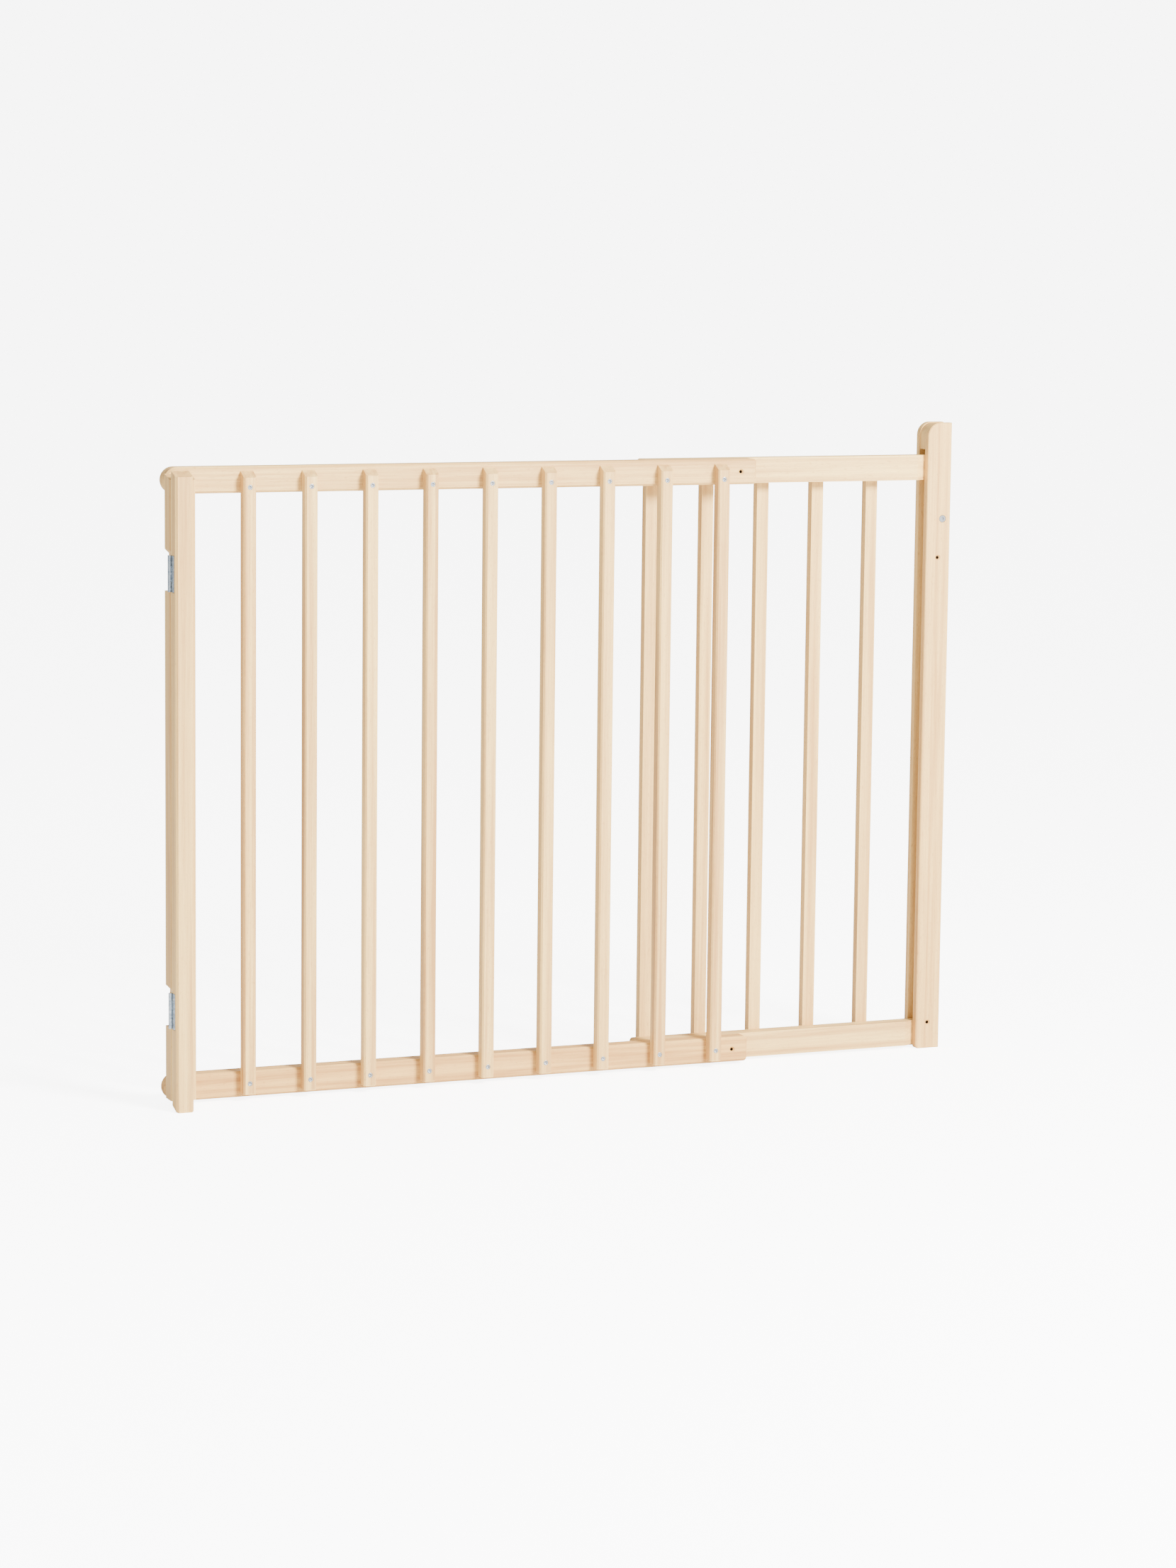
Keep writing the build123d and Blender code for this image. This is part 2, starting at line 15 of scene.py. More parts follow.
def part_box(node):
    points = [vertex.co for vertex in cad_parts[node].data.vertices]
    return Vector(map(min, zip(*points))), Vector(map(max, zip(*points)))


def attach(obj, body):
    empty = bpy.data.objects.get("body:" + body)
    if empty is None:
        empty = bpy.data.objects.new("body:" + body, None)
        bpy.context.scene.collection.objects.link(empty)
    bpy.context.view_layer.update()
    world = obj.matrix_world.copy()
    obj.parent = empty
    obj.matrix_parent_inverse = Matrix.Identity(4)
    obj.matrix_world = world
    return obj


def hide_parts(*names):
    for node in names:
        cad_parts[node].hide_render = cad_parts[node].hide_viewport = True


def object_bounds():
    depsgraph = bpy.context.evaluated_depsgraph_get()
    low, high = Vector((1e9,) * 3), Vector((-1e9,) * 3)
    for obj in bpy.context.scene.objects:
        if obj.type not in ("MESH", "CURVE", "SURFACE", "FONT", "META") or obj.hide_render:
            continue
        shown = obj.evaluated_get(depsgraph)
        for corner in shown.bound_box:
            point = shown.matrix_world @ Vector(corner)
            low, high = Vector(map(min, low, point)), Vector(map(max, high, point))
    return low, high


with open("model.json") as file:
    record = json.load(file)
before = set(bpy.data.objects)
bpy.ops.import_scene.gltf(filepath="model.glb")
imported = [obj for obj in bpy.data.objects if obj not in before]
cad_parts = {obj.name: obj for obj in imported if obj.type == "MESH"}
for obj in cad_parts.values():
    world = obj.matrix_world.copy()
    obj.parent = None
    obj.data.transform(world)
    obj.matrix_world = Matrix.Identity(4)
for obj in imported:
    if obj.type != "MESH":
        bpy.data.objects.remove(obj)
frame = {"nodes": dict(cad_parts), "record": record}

cad_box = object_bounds()
nodes = frame["nodes"]
MM = 0.001

# %% [markdown]
# ## Two small helpers for shader nodes
# A node tree is a graph, and making one in code means adding nodes and linking sockets many times.
# One helper adds a node and fills or links its inputs, the other opens a group with named sockets,
# so each material below reads like a recipe.


# %% Node helpers
def add(tree, kind, inputs=None, **settings):
    """Adds one node. inputs maps a socket to a value, or to an output that is linked to it."""
    made = tree.nodes.new(kind)
    for key, value in settings.items():
        setattr(made, key, value)
    for key, value in (inputs or {}).items():
        if isinstance(value, bpy.types.NodeSocket):
            tree.links.new(value, made.inputs[key])
        else:
            made.inputs[key].default_value = value
    return made


def new_group(name, inputs, outputs):
    """A shader group with named sockets; returns its tree, its input values and its output slots."""
    tree = bpy.data.node_groups.new(name, "ShaderNodeTree")
    for title, (kind, value) in inputs.items():
        socket = tree.interface.new_socket(name=title, in_out="INPUT", socket_type=kind)
        socket.default_value = value
    for title, kind in outputs.items():
        tree.interface.new_socket(name=title, in_out="OUTPUT", socket_type=kind)
    given = tree.nodes.new("NodeGroupInput").outputs
    result = tree.nodes.new("NodeGroupOutput").inputs
    return tree, given, result


FLOAT = "NodeSocketFloat"
VECTOR = "NodeSocketVector"
COLOUR = "NodeSocketColor"
MIX_A, MIX_B, MIX_RESULT = 6, 7, 2   # colour sockets of the Mix node


def stretched(tree, position, amounts):
    """Position multiplied axis by axis, so a noise that reads it is drawn out along an axis."""
    return add(tree, "ShaderNodeVectorMath", {0: position, 1: amounts}, operation="MULTIPLY").outputs[0]


def ranged(tree, value, low, high, out_low=0.0, out_high=1.0):
    """Value carried from one range to another, held at its ends."""
    sockets = {"Value": value, "From Min": low, "From Max": high, "To Min": out_low, "To Max": out_high}
    return add(tree, "ShaderNodeMapRange", sockets).outputs[0]


def blended(tree, amount, first, second):
    """The colour between first and second that amount picks."""
    mix = add(tree, "ShaderNodeMix", {0: amount, MIX_A: first, MIX_B: second}, data_type="RGBA")
    return mix.outputs[MIX_RESULT]


print("helpers ready")

# %% [markdown]
# ## Straight grain
# A sawn and planed slat of beech shows three things: broad, soft bands where it was cut through
# the growth rings, fine fibres all along it, and short dark flecks a millimetre or two long.
# An image would repeat. Four noises, each stretched along the grain by its own amount, don't. The
# group expects the grain along Z, and a material turns its coordinates to suit.

# %% The straight grain group
straight_grain, given, result = new_group(
    "Straight grain",
    {
        "Position": (VECTOR, (0, 0, 0)),
        "Light Wood": (COLOUR, (0.83, 0.69, 0.50, 1)),
        "Dark Wood": (COLOUR, (0.66, 0.49, 0.32, 1)),
        "Band Strength": (FLOAT, 0.45),
        "Fleck Strength": (FLOAT, 0.55),
    },
    {"Color": COLOUR, "Height": FLOAT, "Roughness": FLOAT},
)
tree = straight_grain
drift = add(tree, "ShaderNodeTexNoise", {
    "Vector": stretched(tree, given["Position"], (22, 22, 1.6)), "Scale": 1.0, "Detail": 2.0,
})
banded = add(tree, "ShaderNodeTexNoise", {
    "Vector": stretched(tree, given["Position"], (150, 95, 2.2)),
    "Scale": 1.0, "Detail": 3.0, "Distortion": 0.6,
})
fibres = add(tree, "ShaderNodeTexNoise", {
    "Vector": stretched(tree, given["Position"], (1500, 1500, 28)), "Scale": 1.0, "Detail": 4.0,
})
flecks = add(tree, "ShaderNodeTexNoise", {
    "Vector": stretched(tree, given["Position"], (1100, 1100, 170)), "Scale": 1.0, "Detail": 1.0,
})
band_mask = ranged(tree, banded.outputs[0], 0.38, 0.66)
fibre_mask = ranged(tree, fibres.outputs[0], 0.35, 0.70)
fleck_mask = ranged(tree, flecks.outputs[0], 0.62, 0.72)
band_amount = add(tree, "ShaderNodeMath", {0: band_mask, 1: given["Band Strength"]}, operation="MULTIPLY")
drift_amount = ranged(tree, drift.outputs[0], 0.3, 0.7, 0.0, 0.3)
soft = add(tree, "ShaderNodeMath", {0: band_amount.outputs[0], 1: drift_amount}, operation="ADD")
fine = add(tree, "ShaderNodeMath", {0: fibre_mask, 1: 0.30, 2: soft.outputs[0]}, operation="MULTIPLY_ADD")
plain = blended(tree, fine.outputs[0], given["Light Wood"], given["Dark Wood"])
fleck_amount = add(tree, "ShaderNodeMath", {0: fleck_mask, 1: given["Fleck Strength"]}, operation="MULTIPLY")
flecked = blended(tree, fleck_amount.outputs[0], plain, given["Dark Wood"])
tree.links.new(flecked, result["Color"])
tree.links.new(ranged(tree, fibres.outputs[0], 0.0, 1.0, 1.0, 0.0), result["Height"])
tree.links.new(ranged(tree, banded.outputs[0], 0.3, 0.7, 0.46, 0.58), result["Roughness"])
print("straight grain", len(tree.nodes), "nodes")

# %% [markdown]
# ## End grain and painted edge highlights
# Where a piece is cut across, its open pores drink the finish and look darker and matt. The object's
# own normal says where that is. Along the long edges a paler colour is painted on: a painted highlight
# where rounded edges would catch the light. The distance from a point to the faces of the piece's box
# finds them: an edge is where two faces are near.

# %% The end grain and painted edge highlight groups
end_grain, given, result = new_group(
    "End grain",
    {
        "Position": (VECTOR, (0, 0, 0)),
        "Normal": (VECTOR, (0, 0, 1)),
        "Grain Axis": (VECTOR, (0, 0, 1)),
        "Wood": (COLOUR, (0.8, 0.66, 0.47, 1)),
        "Pore": (COLOUR, (0.56, 0.41, 0.26, 1)),
    },
    {"Color": COLOUR, "Mask": FLOAT},
)
tree = end_grain
facing = add(tree, "ShaderNodeVectorMath", {0: given["Normal"], 1: given["Grain Axis"]},
             operation="DOT_PRODUCT")
facing_size = add(tree, "ShaderNodeMath", {0: facing.outputs["Value"]}, operation="ABSOLUTE")
end_mask = ranged(tree, facing_size.outputs[0], 0.55, 0.85)
pores = add(tree, "ShaderNodeTexNoise", {"Vector": given["Position"], "Scale": 1400.0, "Detail": 3.0})
pore_colour = blended(tree, ranged(tree, pores.outputs[0], 0.35, 0.7), given["Wood"], given["Pore"])
end_amount = add(tree, "ShaderNodeMath", {0: end_mask, 1: 0.55}, operation="MULTIPLY")
tree.links.new(blended(tree, end_amount.outputs[0], given["Wood"], pore_colour), result["Color"])
tree.links.new(end_mask, result["Mask"])

# Painted highlight: a mask along the edges of a piece's box, where a paler colour stands in for light on rounded
# edges.
painted_edge_highlight, given, result = new_group(
    "Painted edge highlight",
    {
        "Position": (VECTOR, (0, 0, 0)),
        "Box Centre": (VECTOR, (0, 0, 0)),
        "Box Half": (VECTOR, (0.01, 0.01, 0.01)),
        "Width": (FLOAT, 0.0014),
    },
    {"Mask": FLOAT},
)
tree = painted_edge_highlight
from_centre = add(tree, "ShaderNodeVectorMath", {0: given["Position"], 1: given["Box Centre"]},
                  operation="SUBTRACT")
reach = add(tree, "ShaderNodeVectorMath", {0: from_centre.outputs[0]}, operation="ABSOLUTE")
room = add(tree, "ShaderNodeVectorMath", {0: given["Box Half"], 1: reach.outputs[0]}, operation="SUBTRACT")
axes = add(tree, "ShaderNodeSeparateXYZ", {0: room.outputs[0]})
uneven = add(tree, "ShaderNodeTexNoise", {"Vector": given["Position"], "Scale": 190.0, "Detail": 3.0})
width = add(tree, "ShaderNodeMath", {0: given["Width"], 1: uneven.outputs[0]}, operation="MULTIPLY")
wide = add(tree, "ShaderNodeMath", {0: width.outputs[0], 1: 2.2}, operation="MULTIPLY")
near = [ranged(tree, axes.outputs[i], 0.0, wide.outputs[0], 1.0, 0.0) for i in range(3)]
pairs = [
    add(tree, "ShaderNodeMath", {0: near[i], 1: near[j]}, operation="MULTIPLY").outputs[0]
    for i, j in ((0, 1), (1, 2), (0, 2))
]
first_two = add(tree, "ShaderNodeMath", {0: pairs[0], 1: pairs[1]}, operation="MAXIMUM")
edge = add(tree, "ShaderNodeMath", {0: first_two.outputs[0], 1: pairs[2]}, operation="MAXIMUM")
tree.links.new(edge.outputs[0], result["Mask"])
print("end grain and edge groups made")

# %% [markdown]
# ## Painted shade in the screw holes
# The empty screw holes are painted near black inside, with a fading ring round each mouth: painted
# shade, where little light gets in.
# Seen along the hole, a point's distance from the axis is all that matters. A row of two holes is
# folded onto one by the size of its height from the row's middle, so one group serves both.

# %% The painted hole shade group
painted_hole_shade, given, result = new_group(
    "Painted hole shade",
    {
        "Position": (VECTOR, (0, 0, 0)),
        "Row Centre": (VECTOR, (0, 0, 0)),
        "Half Spacing": (FLOAT, 0.1),
        "Radius": (FLOAT, 0.002),
    },
    {"Mask": FLOAT},
)
tree = painted_hole_shade
HOLE_RIM = 1.2    # how far out the dark mark fades, in hole radii
offset = add(tree, "ShaderNodeVectorMath", {0: given["Position"], 1: given["Row Centre"]},
             operation="SUBTRACT")
parts = add(tree, "ShaderNodeSeparateXYZ", {0: offset.outputs[0]})
height = add(tree, "ShaderNodeMath", {0: parts.outputs[2]}, operation="ABSOLUTE")
folded = add(tree, "ShaderNodeMath", {0: height.outputs[0], 1: given["Half Spacing"]}, operation="SUBTRACT")
across = add(tree, "ShaderNodeCombineXYZ", {0: parts.outputs[0], 2: folded.outputs[0]})
distance = add(tree, "ShaderNodeVectorMath", {0: across.outputs[0]}, operation="LENGTH")
outer = add(tree, "ShaderNodeMath", {0: given["Radius"], 1: HOLE_RIM}, operation="MULTIPLY")
hole_shade_mask = ranged(tree, distance.outputs["Value"], given["Radius"], outer.outputs[0], 1.0, 0.0)
tree.links.new(hole_shade_mask, result["Mask"])
print("drilled hole group made")

# %% [markdown]
# ## A timber for each piece
# Every stick was cut from a different board, so no two have the same tone or figure. Each piece gets
# a material of its own, made by one function: it turns the grain along the piece, slides the pattern
# to a different stretch of wood, and tints it a little paler, darker or pinker.

# %% Timber materials
ALONG_Z = (0.0, 0.0, 0.0)
ALONG_X = (0.0, 1.5708, 0.0)
pale_cream = np.array((0.86, 0.59, 0.20))
biscuit = np.array((0.50, 0.27, 0.085))
tone_dice = np.random.default_rng(7)
EDGE_HIGHLIGHT_STRENGTH = 0.45    # how much of the painted edge highlight shows on an edge
EDGE_HIGHLIGHT_LIFT = 1.06        # how much paler the painted edge highlight is
END_ROUGHNESS = 0.2     # added to the roughness of end grain
WOOD_SHEEN = 0.35


def box_numbers(name):
    """Centre and half size of a node's box, as arrays."""
    low, high = (np.array(corner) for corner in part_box(name))
    return (low + high) / 2, (high - low) / 2


def hole_row(mount_name):
    """Middle, half spacing and radius of a row of holes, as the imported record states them."""
    mount = next(m for m in frame["record"]["mounts"] if m["name"] == mount_name)
    dims = mount["dims"]
    return mount["pos_m"], dims["spacing_y_mm"] * MM / 2, dims["hole_r_mm"] * MM


drilled = {
    "catch_front_board": "catch_screw_holes",
    "catch_rear_board": "catch_screw_holes",
    "front_top_rail": "width_lock_holes",
    "front_bottom_rail": "width_lock_holes",
}
# Painted shade: the near-black colour laid inside the screw holes and round their mouths.
PAINTED_HOLE_SHADE = (0.055, 0.028, 0.012, 1)


def timber(name, turn, warmth, bands):
    """A beech material fitted to one node.

    warmth darkens and reddens it, and bands is the strength of the figure.
    """
    centre, half = box_numbers(name)
    shift = tone_dice.uniform(-3, 3, 3)
    tone = 1 - warmth * np.array((0.09, 0.17, 0.24)) + tone_dice.uniform(-0.02, 0.02)
    light = (*np.clip(pale_cream * tone, 0, 1), 1)
    dark = (*np.clip(biscuit * tone, 0, 1), 1)
    material = bpy.data.materials.new("beech_" + name)
    material.use_nodes = True
    tree = material.node_tree
    surface = tree.nodes["Principled BSDF"]
    place = add(tree, "ShaderNodeTexCoord")
    mapped = add(tree, "ShaderNodeMapping", {
        "Vector": place.outputs["Object"], "Rotation": turn, "Location": shift,
    })
    axis = (1, 0, 0) if turn == ALONG_X else (0, 0, 1)
    grain = add(tree, "ShaderNodeGroup", node_tree=straight_grain)
    tree.links.new(mapped.outputs[0], grain.inputs["Position"])
    grain.inputs["Light Wood"].default_value = light
    grain.inputs["Dark Wood"].default_value = dark
    grain.inputs["Band Strength"].default_value = bands
    ends = add(tree, "ShaderNodeGroup", node_tree=end_grain)
    tree.links.new(place.outputs["Object"], ends.inputs["Position"])
    tree.links.new(place.outputs["Normal"], ends.inputs["Normal"])
    tree.links.new(grain.outputs["Color"], ends.inputs["Wood"])
    ends.inputs["Grain Axis"].default_value = axis
    ends.inputs["Pore"].default_value = dark
    # Painted highlight: the box edges are blended towards a paler cream, standing in for light caught by rounded
    # edges.
    edges = add(tree, "ShaderNodeGroup", node_tree=painted_edge_highlight)
    tree.links.new(place.outputs["Object"], edges.inputs["Position"])
    edges.inputs["Box Centre"].default_value = centre
    edges.inputs["Box Half"].default_value = half
    edge_highlight_amount = add(tree, "ShaderNodeMath", {0: edges.outputs["Mask"], 1: EDGE_HIGHLIGHT_STRENGTH}, operation="MULTIPLY")
    paler = (*np.clip(pale_cream * EDGE_HIGHLIGHT_LIFT, 0, 1), 1)
    finished = blended(tree, edge_highlight_amount.outputs[0], ends.outputs["Color"], paler)
    # Pieces with screw holes get painted shade: the hole walls and a ring round each mouth are blended towards
    # near black.
    if name in drilled:
        row_middle, half_spacing, hole_radius = hole_row(drilled[name])
        holes = add(tree, "ShaderNodeGroup", node_tree=painted_hole_shade)
        tree.links.new(place.outputs["Object"], holes.inputs["Position"])
        holes.inputs["Row Centre"].default_value = row_middle
        holes.inputs["Half Spacing"].default_value = half_spacing
        holes.inputs["Radius"].default_value = hole_radius
        finished = blended(tree, holes.outputs["Mask"], finished, PAINTED_HOLE_SHADE)
    tree.links.new(finished, surface.inputs["Base Color"])
    rough_parts = {0: ends.outputs["Mask"], 1: END_ROUGHNESS, 2: grain.outputs["Roughness"]}
    rough = add(tree, "ShaderNodeMath", rough_parts, operation="MULTIPLY_ADD")
    tree.links.new(rough.outputs[0], surface.inputs["Roughness"])
    relief = add(tree, "ShaderNodeBump", {
        "Height": grain.outputs["Height"], "Strength": 0.22, "Distance": 0.0002,
    })
    tree.links.new(relief.outputs[0], surface.inputs["Normal"])
    surface.inputs["Specular IOR Level"].default_value = WOOD_SHEEN
    return material


def dress(name, material):
    """Gives a CAD node its finish through its material slot."""
    node = nodes[name]
    if node.material_slots:
        node.material_slots[0].material = material
    else:
        node.data.materials.append(material)


front_slats = [f"front_slat_{i}" for i in range(1, 10)]
rear_slats = [f"rear_slat_{i}" for i in range(1, 6)]
uprights = {"wall_batten": 0.35, "hinge_stile": 0.15, "catch_front_board": 0.75, "catch_rear_board": 0.45,
            "catch_back_strip": 0.5, "catch_top_spacer": 0.5}
rails = {"front_top_rail": 0.25, "front_bottom_rail": 1.3, "rear_top_rail": 0.05, "rear_bottom_rail": 0.1}
for name in front_slats + rear_slats:
    dress(name, timber(name, ALONG_Z, tone_dice.uniform(0.1, 0.6), tone_dice.uniform(0.35, 0.75)))
for name, warmth in uprights.items():
    dress(name, timber(name, ALONG_Z, warmth, 0.55))
for name, warmth in rails.items():
    dress(name, timber(name, ALONG_X, warmth, 0.6))
print("timber pieces", len(front_slats) + len(rear_slats) + len(uprights) + len(rails))

# %% [markdown]
# ## Zinc and nylon
# Plated steel is bright but not a mirror: the plating is a little cloudy, and handling leaves hairline
# scratches. The runners are natural nylon, which is milky, slightly mottled and dull.

# %% Hardware materials
plating, given, result = new_group(
    "Cloudy plating",
    {
        "Position": (VECTOR, (0, 0, 0)),
        "Bright": (COLOUR, (0.78, 0.79, 0.80, 1)),
        "Dull": (COLOUR, (0.5, 0.52, 0.54, 1)),
    },
    {"Color": COLOUR, "Roughness": FLOAT, "Height": FLOAT},
)
tree = plating
clouds = add(tree, "ShaderNodeTexNoise", {"Vector": given["Position"], "Scale": 320.0, "Detail": 4.0})
hairlines = add(tree, "ShaderNodeTexNoise", {
    "Vector": stretched(tree, given["Position"], (3000, 3000, 180)), "Scale": 1.0, "Detail": 2.0,
})
cloud_mask = ranged(tree, clouds.outputs[0], 0.35, 0.7)
tree.links.new(blended(tree, cloud_mask, given["Bright"], given["Dull"]), result["Color"])
tree.links.new(ranged(tree, clouds.outputs[0], 0.3, 0.7, 0.22, 0.42), result["Roughness"])
tree.links.new(hairlines.outputs[0], result["Height"])


def plated(name, bright, dull):
    """A plated steel finish between two greys."""
    material = bpy.data.materials.new(name)
    material.use_nodes = True
    tree = material.node_tree
    surface = tree.nodes["Principled BSDF"]
    place = add(tree, "ShaderNodeTexCoord")
    cover = add(tree, "ShaderNodeGroup", node_tree=plating)
    tree.links.new(place.outputs["Object"], cover.inputs["Position"])
    cover.inputs["Bright"].default_value = bright
    cover.inputs["Dull"].default_value = dull
    tree.links.new(cover.outputs["Color"], surface.inputs["Base Color"])
    tree.links.new(cover.outputs["Roughness"], surface.inputs["Roughness"])
    relief = add(tree, "ShaderNodeBump", {
        "Height": cover.outputs["Height"], "Strength": 0.15, "Distance": 0.0001,
    })
    tree.links.new(relief.outputs[0], surface.inputs["Normal"])
    surface.inputs["Metallic"].default_value = 1.0
    return material


zinc = plated("bright_zinc", (0.50, 0.56, 0.60, 1), (0.24, 0.29, 0.34, 1))
screw_zinc = plated("screw_zinc", (0.46, 0.48, 0.49, 1), (0.22, 0.23, 0.24, 1))

nylon = bpy.data.materials.new("natural_nylon")
nylon.use_nodes = True
tree = nylon.node_tree
surface = tree.nodes["Principled BSDF"]
place = add(tree, "ShaderNodeTexCoord")
milk = add(tree, "ShaderNodeTexNoise", {"Vector": place.outputs["Object"], "Scale": 260.0, "Detail": 3.0})
milky = blended(tree, milk.outputs[0], (0.83, 0.82, 0.77, 1), (0.74, 0.73, 0.68, 1))
tree.links.new(milky, surface.inputs["Base Color"])
tree.links.new(ranged(tree, milk.outputs[0], 0.3, 0.7, 0.42, 0.58), surface.inputs["Roughness"])
surface.inputs["Subsurface Weight"].default_value = 0.05

for place_name in ("lower", "upper"):
    for part in ("wall_leaf", "gate_leaf", "pin"):
        dress(f"{place_name}_hinge_{part}", zinc)
for name in ("stile_screws", "runner_screws", "catch_bolt", "catch_sleeve_nut"):
    dress(name, screw_zinc)
for name in ("top_runners", "bottom_runners"):
    dress(name, nylon)
print("hardware dressed")

# %% [markdown]
# ## Screws with a cross recess
# The CAD screws are the right size but plain. A better head is a surface of two parameters: how far
# along the profile from the middle of the head to the tip, and the angle round the axis. The recess
# is a dip in that surface, deepest in the middle, along two crossed arms with sloping walls.


# %% The screw surface
HEAD_ROWS = 15              # rows of points across the head
ARM_WALL = (0.10, 0.20)     # where an arm's wall starts and ends, in head radii
ARM_END = (0.42, 0.62)      # where an arm runs out, in head radii
RECESS_DEPTH = 0.75         # as a share of the cone's height


def smooth_step(low, high, value):
    """Zero below low, one above high, an S curve between."""
    t = np.clip((value - low) / (high - low), 0, 1)
    return t * t * (3 - 2 * t)


def screw_points(head, shank, length, around=72):
    """A countersunk screw as rows of points, its axis along Z and the head's plane at zero.

    Radius and height follow a profile: out across the head, down a cone, along the shank and in to
    the tip. Over the head, height falls by the recess depth times the cross: near a crossing arm's
    middle line, and not past the arm's end.
    """
    cone = head - shank
    radius = np.concatenate([np.linspace(0.02, 0.96, HEAD_ROWS) * head, [head, shank, shank, 0.45 * shank]])
    profile_end = [-0.01 * head, -0.06 * head, -cone, -length + 2 * shank, -length]
    height = np.concatenate([np.zeros(HEAD_ROWS - 1), profile_end])
    turn = np.linspace(0, 2 * np.pi, around, endpoint=False)
    x = radius[:, None] * np.cos(turn)
    y = radius[:, None] * np.sin(turn)
    across = np.minimum(abs(x), abs(y))
    along = np.maximum(abs(x), abs(y))
    inside_arm = 1 - smooth_step(ARM_WALL[0] * head, ARM_WALL[1] * head, across)
    before_end = 1 - smooth_step(ARM_END[0] * head, ARM_END[1] * head, along)
    cross = inside_arm * before_end
    top = (np.arange(len(radius)) < HEAD_ROWS)[:, None]
    z = height[:, None] - np.where(top, cross * RECESS_DEPTH * cone, 0)
    return np.stack([x, y, z], axis=2)


def screw_faces(rows, around, first):
    """Quads between neighbouring rows, and a fan to close each end."""
    ring = np.arange(around)
    row = np.arange(rows - 1)[:, None] * around
    nxt = (ring + 1) % around
    quads = np.stack([row + ring, row + around + ring, row + around + nxt, row + nxt], axis=2).reshape(-1, 4)
    start, end = rows * around, rows * around + 1
    last = (rows - 1) * around
    opening = np.stack([np.full(around, start), ring, nxt], axis=1)
    closing = np.stack([np.full(around, end), last + nxt, last + ring], axis=1)
    return (quads + first).tolist() + (opening + first).tolist() + (closing + first).tolist()


def turned_to(heading):
    """The rotation that takes Z to a heading."""
    return np.array(Vector((0, 0, 1)).rotation_difference(Vector(heading)).to_matrix())


def make_screws(name, places, heading, head, shank, length, sink):
    """All the screws of one kind as a piece: the same surface, turned to its heading at each place."""
    grid = screw_points(head, shank, length - sink)
    rows, around, _ = grid.shape
    middle = np.array([[0, 0, grid[0, :, 2].mean()], [0, 0, -length + sink - 0.3 * shank]])
    one = np.concatenate([grid.reshape(-1, 3), middle])
    one[:, 2] -= sink
    one[:, 2] = np.maximum(one[:, 2], -length)
    turned = one @ turned_to(heading).T
    points = np.concatenate([turned + np.array(place) for place in places])
    faces = []
    for i in range(len(places)):
        faces += screw_faces(rows, around, i * len(one))
    mesh = bpy.data.meshes.new(name)
    mesh.from_pydata(points.tolist(), [], faces)
    mesh.polygons.foreach_set("use_smooth", np.ones(len(mesh.polygons), bool))
    mesh.update()
    mesh.materials.append(screw_zinc)
    piece = bpy.data.objects.new(name, mesh)
    bpy.context.scene.collection.objects.link(piece)
    print(name, len(places), "screws", len(mesh.polygons), "faces")
    return piece


# %% [markdown]
# ## Placing the screws
# Nothing is measured by hand here. The box round the CAD screws gives the head's radius, the screw's
# length and the two heights, and the slats' own boxes give where each screw stands.

# %% Slat and hinge screws
SINK = 0.4 * MM            # how far a slat screw's head is driven below the wood
LEAF_SINK = SINK / 3       # and a hinge screw's below its leaf
HEAD_SHARE = 0.93          # how much of the countersink's mouth a slat screw's head fills
SLAT_SHANK_SHARE = 0.49    # shank radius as a share of the full head's
LEAF_SHANK_SHARE = 0.52


def slat_screws(name, cad_name, slats, outward, body):
    """Screws for a row of slats, heads facing along Y by outward."""
    low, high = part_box(cad_name)
    middles = [box_numbers(slat)[0][0] for slat in slats]
    head = min(middles) - low[0]
    face = low[1] if outward < 0 else high[1]
    places = [(x, face, z) for x in middles for z in (low[2] + head, high[2] - head)]
    shank = head * SLAT_SHANK_SHARE
    piece = make_screws(name, places, (0, outward, 0), head * HEAD_SHARE, shank, high[1] - low[1], SINK)
    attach(piece, body)
    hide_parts(cad_name)


def leaf_screws(name, cad_name, leaf, body):
    """Screws in both hinge leaves of one kind, heads facing left."""
    low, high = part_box(cad_name)
    head = (high[1] - low[1]) / 2
    lower = box_numbers(f"lower_hinge_{leaf}")[0][2]
    upper = box_numbers(f"upper_hinge_{leaf}")[0][2]
    offset = lower - low[2] - head
    middle_y = (low[1] + high[1]) / 2
    places = [(low[0], middle_y, z + side * offset) for z in (lower, upper) for side in (-1, 1)]
    shank = head * LEAF_SHANK_SHARE
    piece = make_screws(name, places, (-1, 0, 0), head, shank, high[0] - low[0], LEAF_SINK)
    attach(piece, body)
    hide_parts(cad_name)


slat_screws("front_panel_slat_screws", "front_slat_screws", front_slats, -1, "front_panel")
slat_screws("rear_panel_slat_screws", "rear_slat_screws", rear_slats, 1, "sliding_panel")
leaf_screws("wall_side_leaf_screws", "wall_leaf_screws", "wall_leaf", "wall_side")
leaf_screws("front_panel_leaf_screws", "gate_leaf_screws", "gate_leaf", "front_panel")

# %% [markdown]
# ## The studio
# A product studio has no horizon. A curved sheet behind the object would do that from the front, but
# it would hide the object from the back. A very wide round floor works from every side, as long as it
# looks exactly as bright as the sky where they meet. Both get a glow that only the camera sees, so
# they are near white without flooding the wood with light.

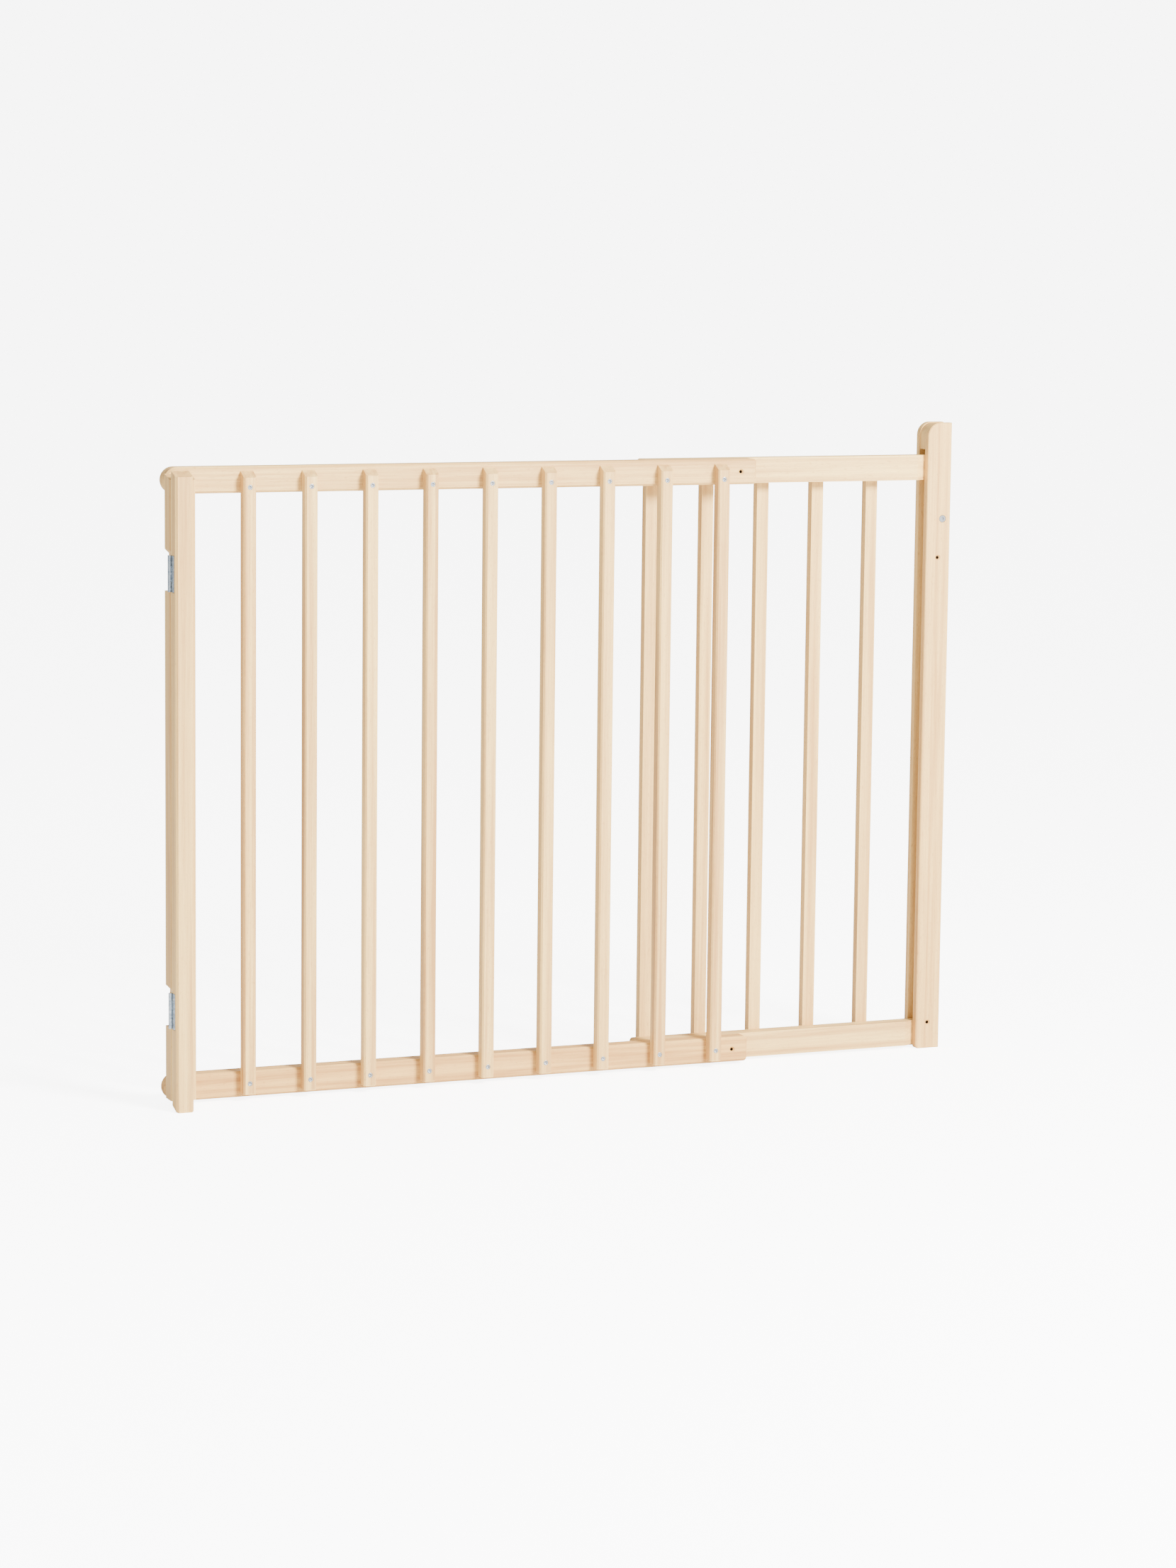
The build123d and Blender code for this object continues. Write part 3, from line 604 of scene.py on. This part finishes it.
# %% Floor disc
FLOOR_REACH = 40.0
SPOKES = 96
SKY_LIGHT = 1.0      # what lights the gate
PAPER_WHITE = 0.90
CAMERA_GLOW = 6.5    # added to floor and sky for the camera only
ring_radius = np.array((0.5, 2.0, 8.0, FLOOR_REACH))
ring_angle = np.linspace(0, 2 * np.pi, SPOKES, endpoint=False)
rings = np.stack([
    np.outer(ring_radius, np.cos(ring_angle)),
    np.outer(ring_radius, np.sin(ring_angle)),
    np.full((len(ring_radius), SPOKES), cad_box[0][2]),
], axis=2)
floor_points = np.concatenate([rings.reshape(-1, 3), [[0, 0, cad_box[0][2]]]])
spoke = np.arange(SPOKES)
following = (spoke + 1) % SPOKES
start = np.arange(len(ring_radius) - 1)[:, None] * SPOKES
outer_start = start + SPOKES
bands = np.stack([start + spoke, outer_start + spoke, outer_start + following, start + following], axis=2)
hub = np.stack([np.full(SPOKES, len(floor_points) - 1), spoke, following], axis=1)
mesh = bpy.data.meshes.new("floor_disc")
mesh.from_pydata(floor_points.tolist(), [], bands.reshape(-1, 4).tolist() + hub.tolist())
mesh.update()
paper = bpy.data.materials.new("pale_paper")
paper.use_nodes = True
sheet = paper.node_tree.nodes["Principled BSDF"]
sheet.inputs["Base Color"].default_value = (PAPER_WHITE, PAPER_WHITE, PAPER_WHITE, 1)
sheet.inputs["Roughness"].default_value = 0.9
sheet.inputs["Specular IOR Level"].default_value = 0.0
sheet.inputs["Emission Color"].default_value = (1, 1, 1, 1)
rays = add(paper.node_tree, "ShaderNodeLightPath")
seen = {0: rays.outputs["Is Camera Ray"], 1: CAMERA_GLOW}
glow = add(paper.node_tree, "ShaderNodeMath", seen, operation="MULTIPLY")
paper.node_tree.links.new(glow.outputs[0], sheet.inputs["Emission Strength"])
mesh.materials.append(paper)
floor = bpy.data.objects.new("floor_disc", mesh)
bpy.context.scene.collection.objects.link(floor)
print("floor", len(mesh.polygons), "faces")

# %% [markdown]
# ## Light
# One large softbox high on the right does most of the work, and a weak one fills from the left. The
# sky lights the gate evenly. For the camera alone it is raised to the floor's brightness.

# %% Lamps and sky
GATE_MIDDLE = Vector((0, 0, 0.38))


def soft_lamp(name, place, size, power):
    """A square area lamp at a place, aimed at the gate's middle."""
    data = bpy.data.lights.new(name, "AREA")
    data.size = size
    data.energy = power
    lamp = bpy.data.objects.new(name, data)
    aim = (GATE_MIDDLE - Vector(place)).to_track_quat("-Z", "Y")
    lamp.matrix_world = Matrix.Translation(place) @ aim.to_matrix().to_4x4()
    bpy.context.scene.collection.objects.link(lamp)


soft_lamp("key_softbox", (1.6, -3.6, 2.6), 1.3, 900)
soft_lamp("left_fill", (-3.4, -1.6, 1.8), 2.0, 30)
sky = bpy.data.worlds.new("even_sky")
sky.use_nodes = True
background = sky.node_tree.nodes["Background"]
background.inputs["Color"].default_value = (1.0, 1.0, 1.0, 1)
rays = add(sky.node_tree, "ShaderNodeLightPath")
far_floor = CAMERA_GLOW + PAPER_WHITE * SKY_LIGHT
seen = {0: rays.outputs["Is Camera Ray"], 1: far_floor - SKY_LIGHT, 2: SKY_LIGHT}
strength = add(sky.node_tree, "ShaderNodeMath", seen, operation="MULTIPLY_ADD")
sky.node_tree.links.new(strength.outputs[0], background.inputs["Strength"])
bpy.context.scene.world = sky

# %% [markdown]
# ## The camera
# A long lens from a good way off keeps the slats nearly parallel. The camera stands to the left of the
# gate and a little above it, turned to the right and tipped down, with a trace of roll. Its three axes
# are worked out from those angles, and they are the columns of its matrix.

# %% Camera
CAMERA_PLACE = (-1.8736, -4.6471, 1.0462)
LENS = 131.74     # millimetres, like the sensor
SENSOR = 36.0
VIEW_YAW = np.radians(22.207)
VIEW_TIP = np.radians(7.909)
VIEW_ROLL = np.radians(-0.6385)
ahead = np.array((
    np.sin(VIEW_YAW) * np.cos(VIEW_TIP),
    np.cos(VIEW_YAW) * np.cos(VIEW_TIP),
    -np.sin(VIEW_TIP),
))
level_right = np.array((np.cos(VIEW_YAW), -np.sin(VIEW_YAW), 0))
level_down = np.cross(ahead, level_right)
right = np.cos(VIEW_ROLL) * level_right + np.sin(VIEW_ROLL) * level_down
down = -np.sin(VIEW_ROLL) * level_right + np.cos(VIEW_ROLL) * level_down
camera_data = bpy.data.cameras.new("studio_camera")
camera_data.sensor_fit = "HORIZONTAL"
camera_data.sensor_width = SENSOR
camera_data.lens = LENS
camera_data.clip_end = 100.0
camera = bpy.data.objects.new("studio_camera", camera_data)
turn = Matrix(np.stack([right, -down, -ahead], axis=1).tolist()).to_4x4()
camera.matrix_world = Matrix.Translation(CAMERA_PLACE) @ turn
bpy.context.scene.collection.objects.link(camera)
bpy.context.scene.camera = camera
print("camera", [round(v, 3) for v in camera.matrix_world.translation])
